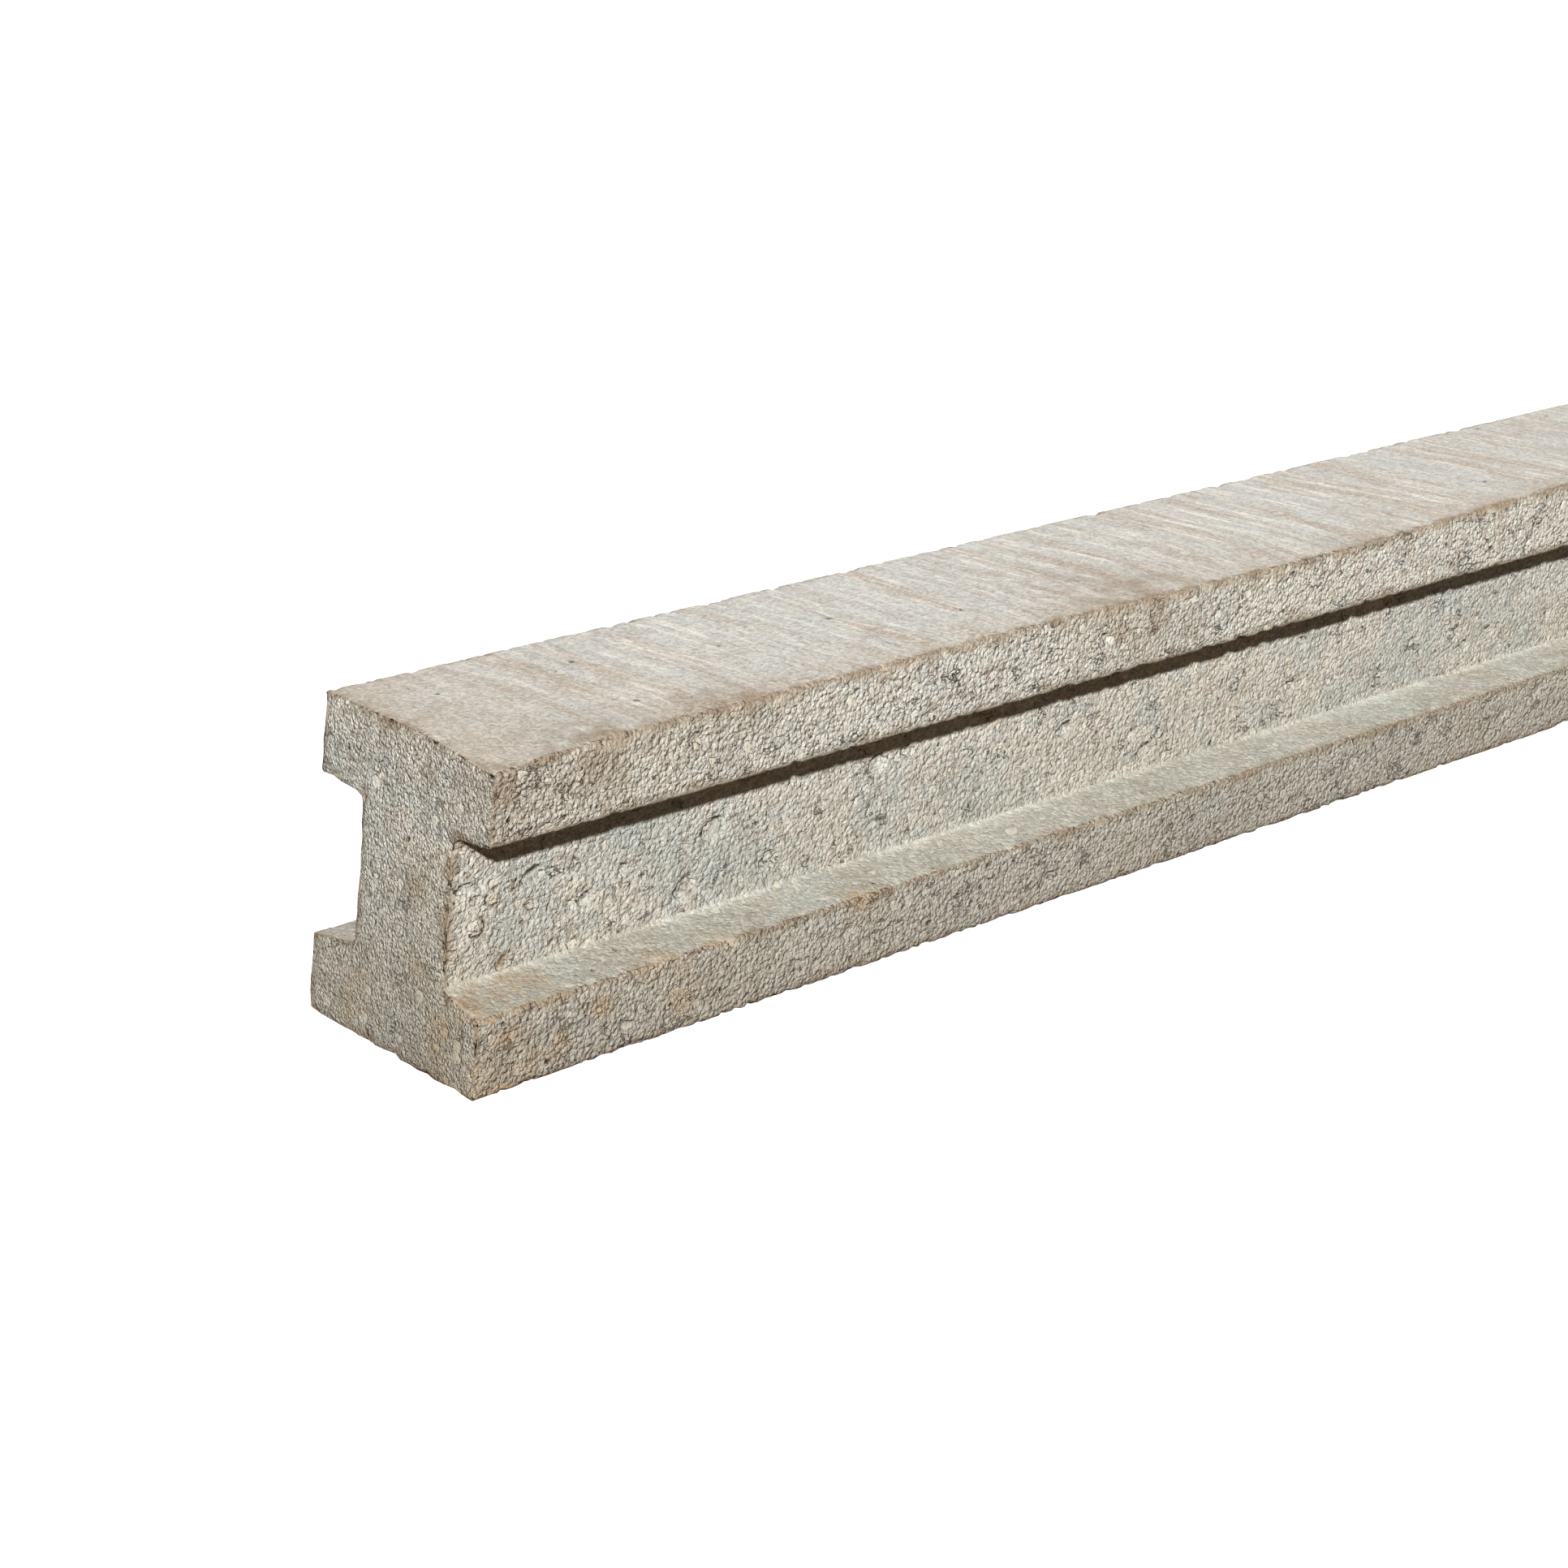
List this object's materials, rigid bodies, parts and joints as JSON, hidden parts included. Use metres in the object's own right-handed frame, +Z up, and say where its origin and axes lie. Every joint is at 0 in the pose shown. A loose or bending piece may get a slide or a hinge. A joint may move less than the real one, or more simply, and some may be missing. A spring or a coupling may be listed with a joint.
{
  "type": "slotted fence post",
  "caption": "Precast concrete fence post of H-shaped section, with a panel slot down each side and a steel cage cast inside.",
  "frame": {"origin": "middle of the resting face, on the surface that the post lies on", "axes": "+X along the post, +Y across it towards the deeper slot, +Z up through both flanges"},
  "size_m": [2.4, 0.094, 0.109],
  "materials": {
    "concrete": "as-cast semi-dry concrete, rough sides and trowelled top",
    "bar_steel": "drawn, lightly rusted",
    "link_wire": "drawn wire",
    "chair_plastic": "moulded"
  },
  "bodies": {
    "root": {"bar_chair_1": "chair_plastic", "bar_chair_2": "chair_plastic", "bar_chair_3": "chair_plastic", "bar_chair_4": "chair_plastic", "bar_chair_5": "chair_plastic", "bar_chair_6": "chair_plastic", "bar_lower_left": "bar_steel", "bar_lower_right": "bar_steel", "bar_upper_left": "bar_steel", "bar_upper_right": "bar_steel", "concrete_post": "concrete", "link_1": "link_wire", "link_2": "link_wire", "link_3": "link_wire", "link_4": "link_wire", "link_5": "link_wire", "link_6": "link_wire", "link_7": "link_wire", "link_8": "link_wire", "link_9": "link_wire"}
  },
  "joints": []
}
